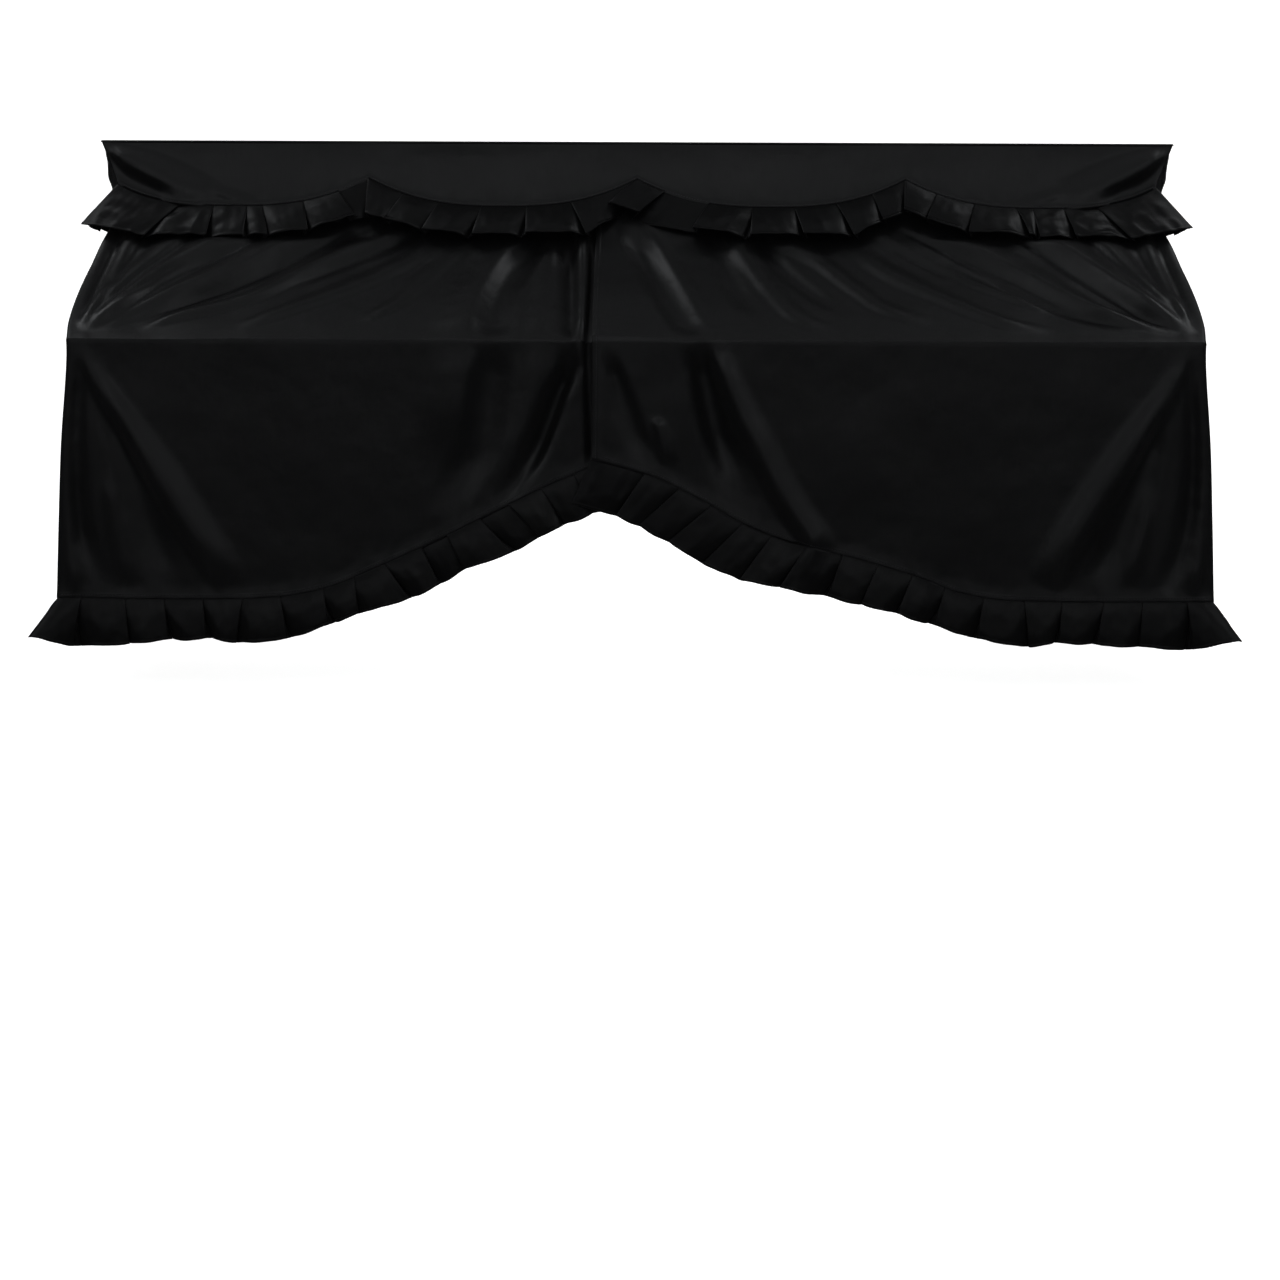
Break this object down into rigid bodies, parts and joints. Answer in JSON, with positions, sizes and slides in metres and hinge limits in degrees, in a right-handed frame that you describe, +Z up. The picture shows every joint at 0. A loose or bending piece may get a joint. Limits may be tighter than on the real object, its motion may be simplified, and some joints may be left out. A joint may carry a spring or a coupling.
{
  "type": "piano cover",
  "caption": "Black satin cover for an upright piano, with a swagged pleated valance at the lid, lapped front curtains cut in an arch, and a pleated hem ruffle.",
  "frame": {"origin": "centre of the underside of the top panel, where the piano's lid carries the cover", "axes": "+X along the lid, to the right seen from the front; +Y to the back, so the front faces -Y; +Z up"},
  "size_m": [1.628, 0.665, 0.6761],
  "materials": {
    "satin": "black polyester satin, soft sheen"
  },
  "bodies": {
    "root": {"top_panel": "satin", "valance_front": "satin", "valance_left": "satin", "valance_right": "satin", "valance_ruffle_front": "satin", "valance_ruffle_left": "satin", "valance_ruffle_right": "satin", "curtain_left": "satin", "curtain_right": "satin", "side_left": "satin", "side_right": "satin", "hem_ruffle_left": "satin", "hem_ruffle_right": "satin", "hem_ruffle_side_left": "satin", "hem_ruffle_side_right": "satin", "back_panel": "satin"}
  },
  "joints": []
}
